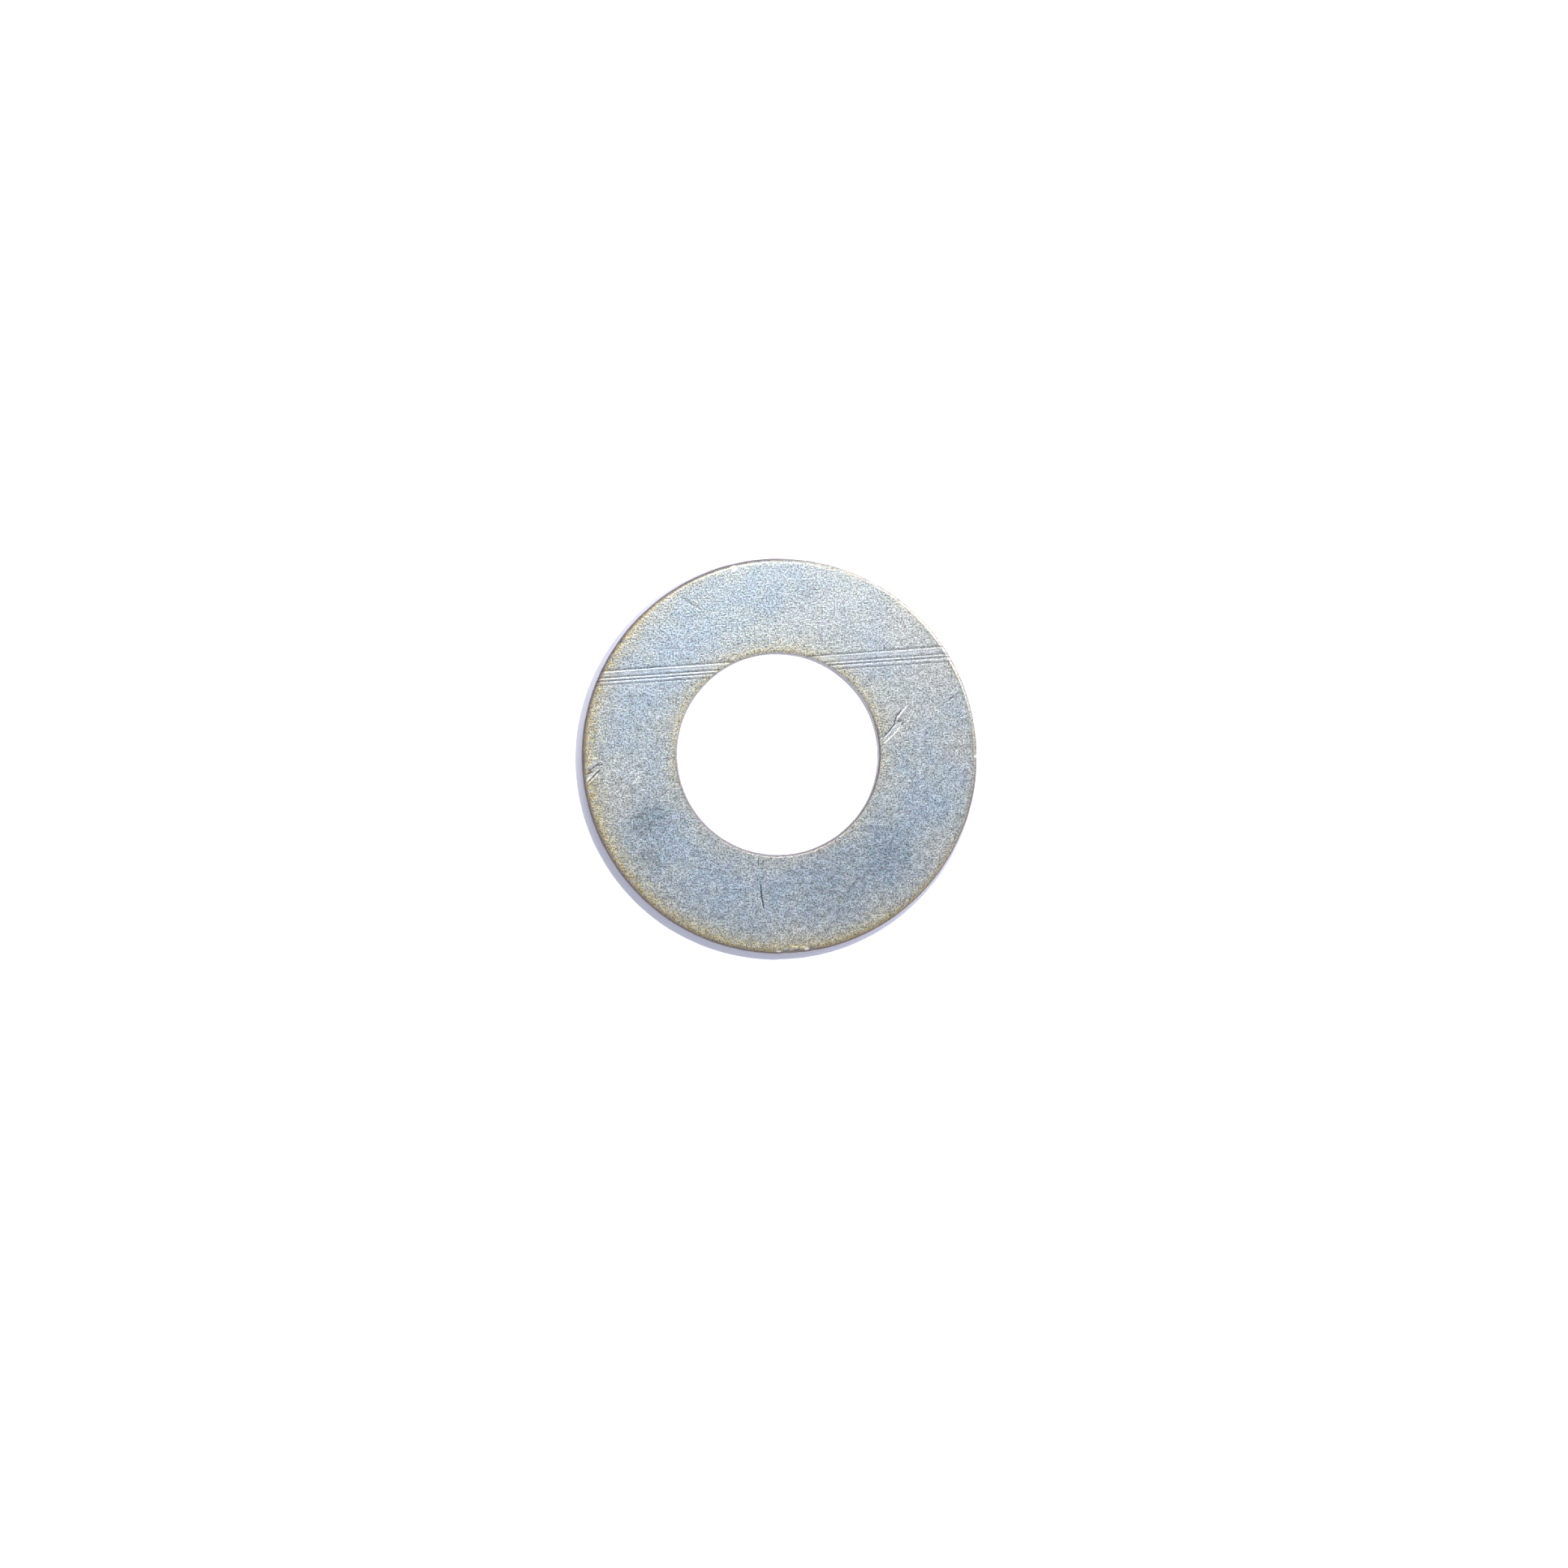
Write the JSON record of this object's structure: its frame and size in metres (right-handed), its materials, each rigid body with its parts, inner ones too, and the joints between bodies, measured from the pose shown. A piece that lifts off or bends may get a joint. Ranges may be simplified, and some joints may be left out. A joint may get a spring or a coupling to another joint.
{
  "type": "flat washer",
  "caption": "Plain flat steel washer, zinc plated, that spreads the load of a 10 mm screw head or nut over the surface it is tightened against.",
  "frame": {"origin": "on the axis of the outside diameter, in the lower face, the one the washer lies on", "axes": "+Z along the bore, out of the upper face, the one whose outside edge is rounded by the press; +X and +Y lie in the lower face"},
  "size_m": [0.021, 0.021, 0.002],
  "materials": {
    "zinc_plated_steel": "barrel-tumbled steel with blue-white zinc plating that turns yellowish at the edges; fine matt grain, drag grooves and scratches"
  },
  "bodies": {
    "root": {"washer": "zinc_plated_steel"}
  },
  "joints": []
}
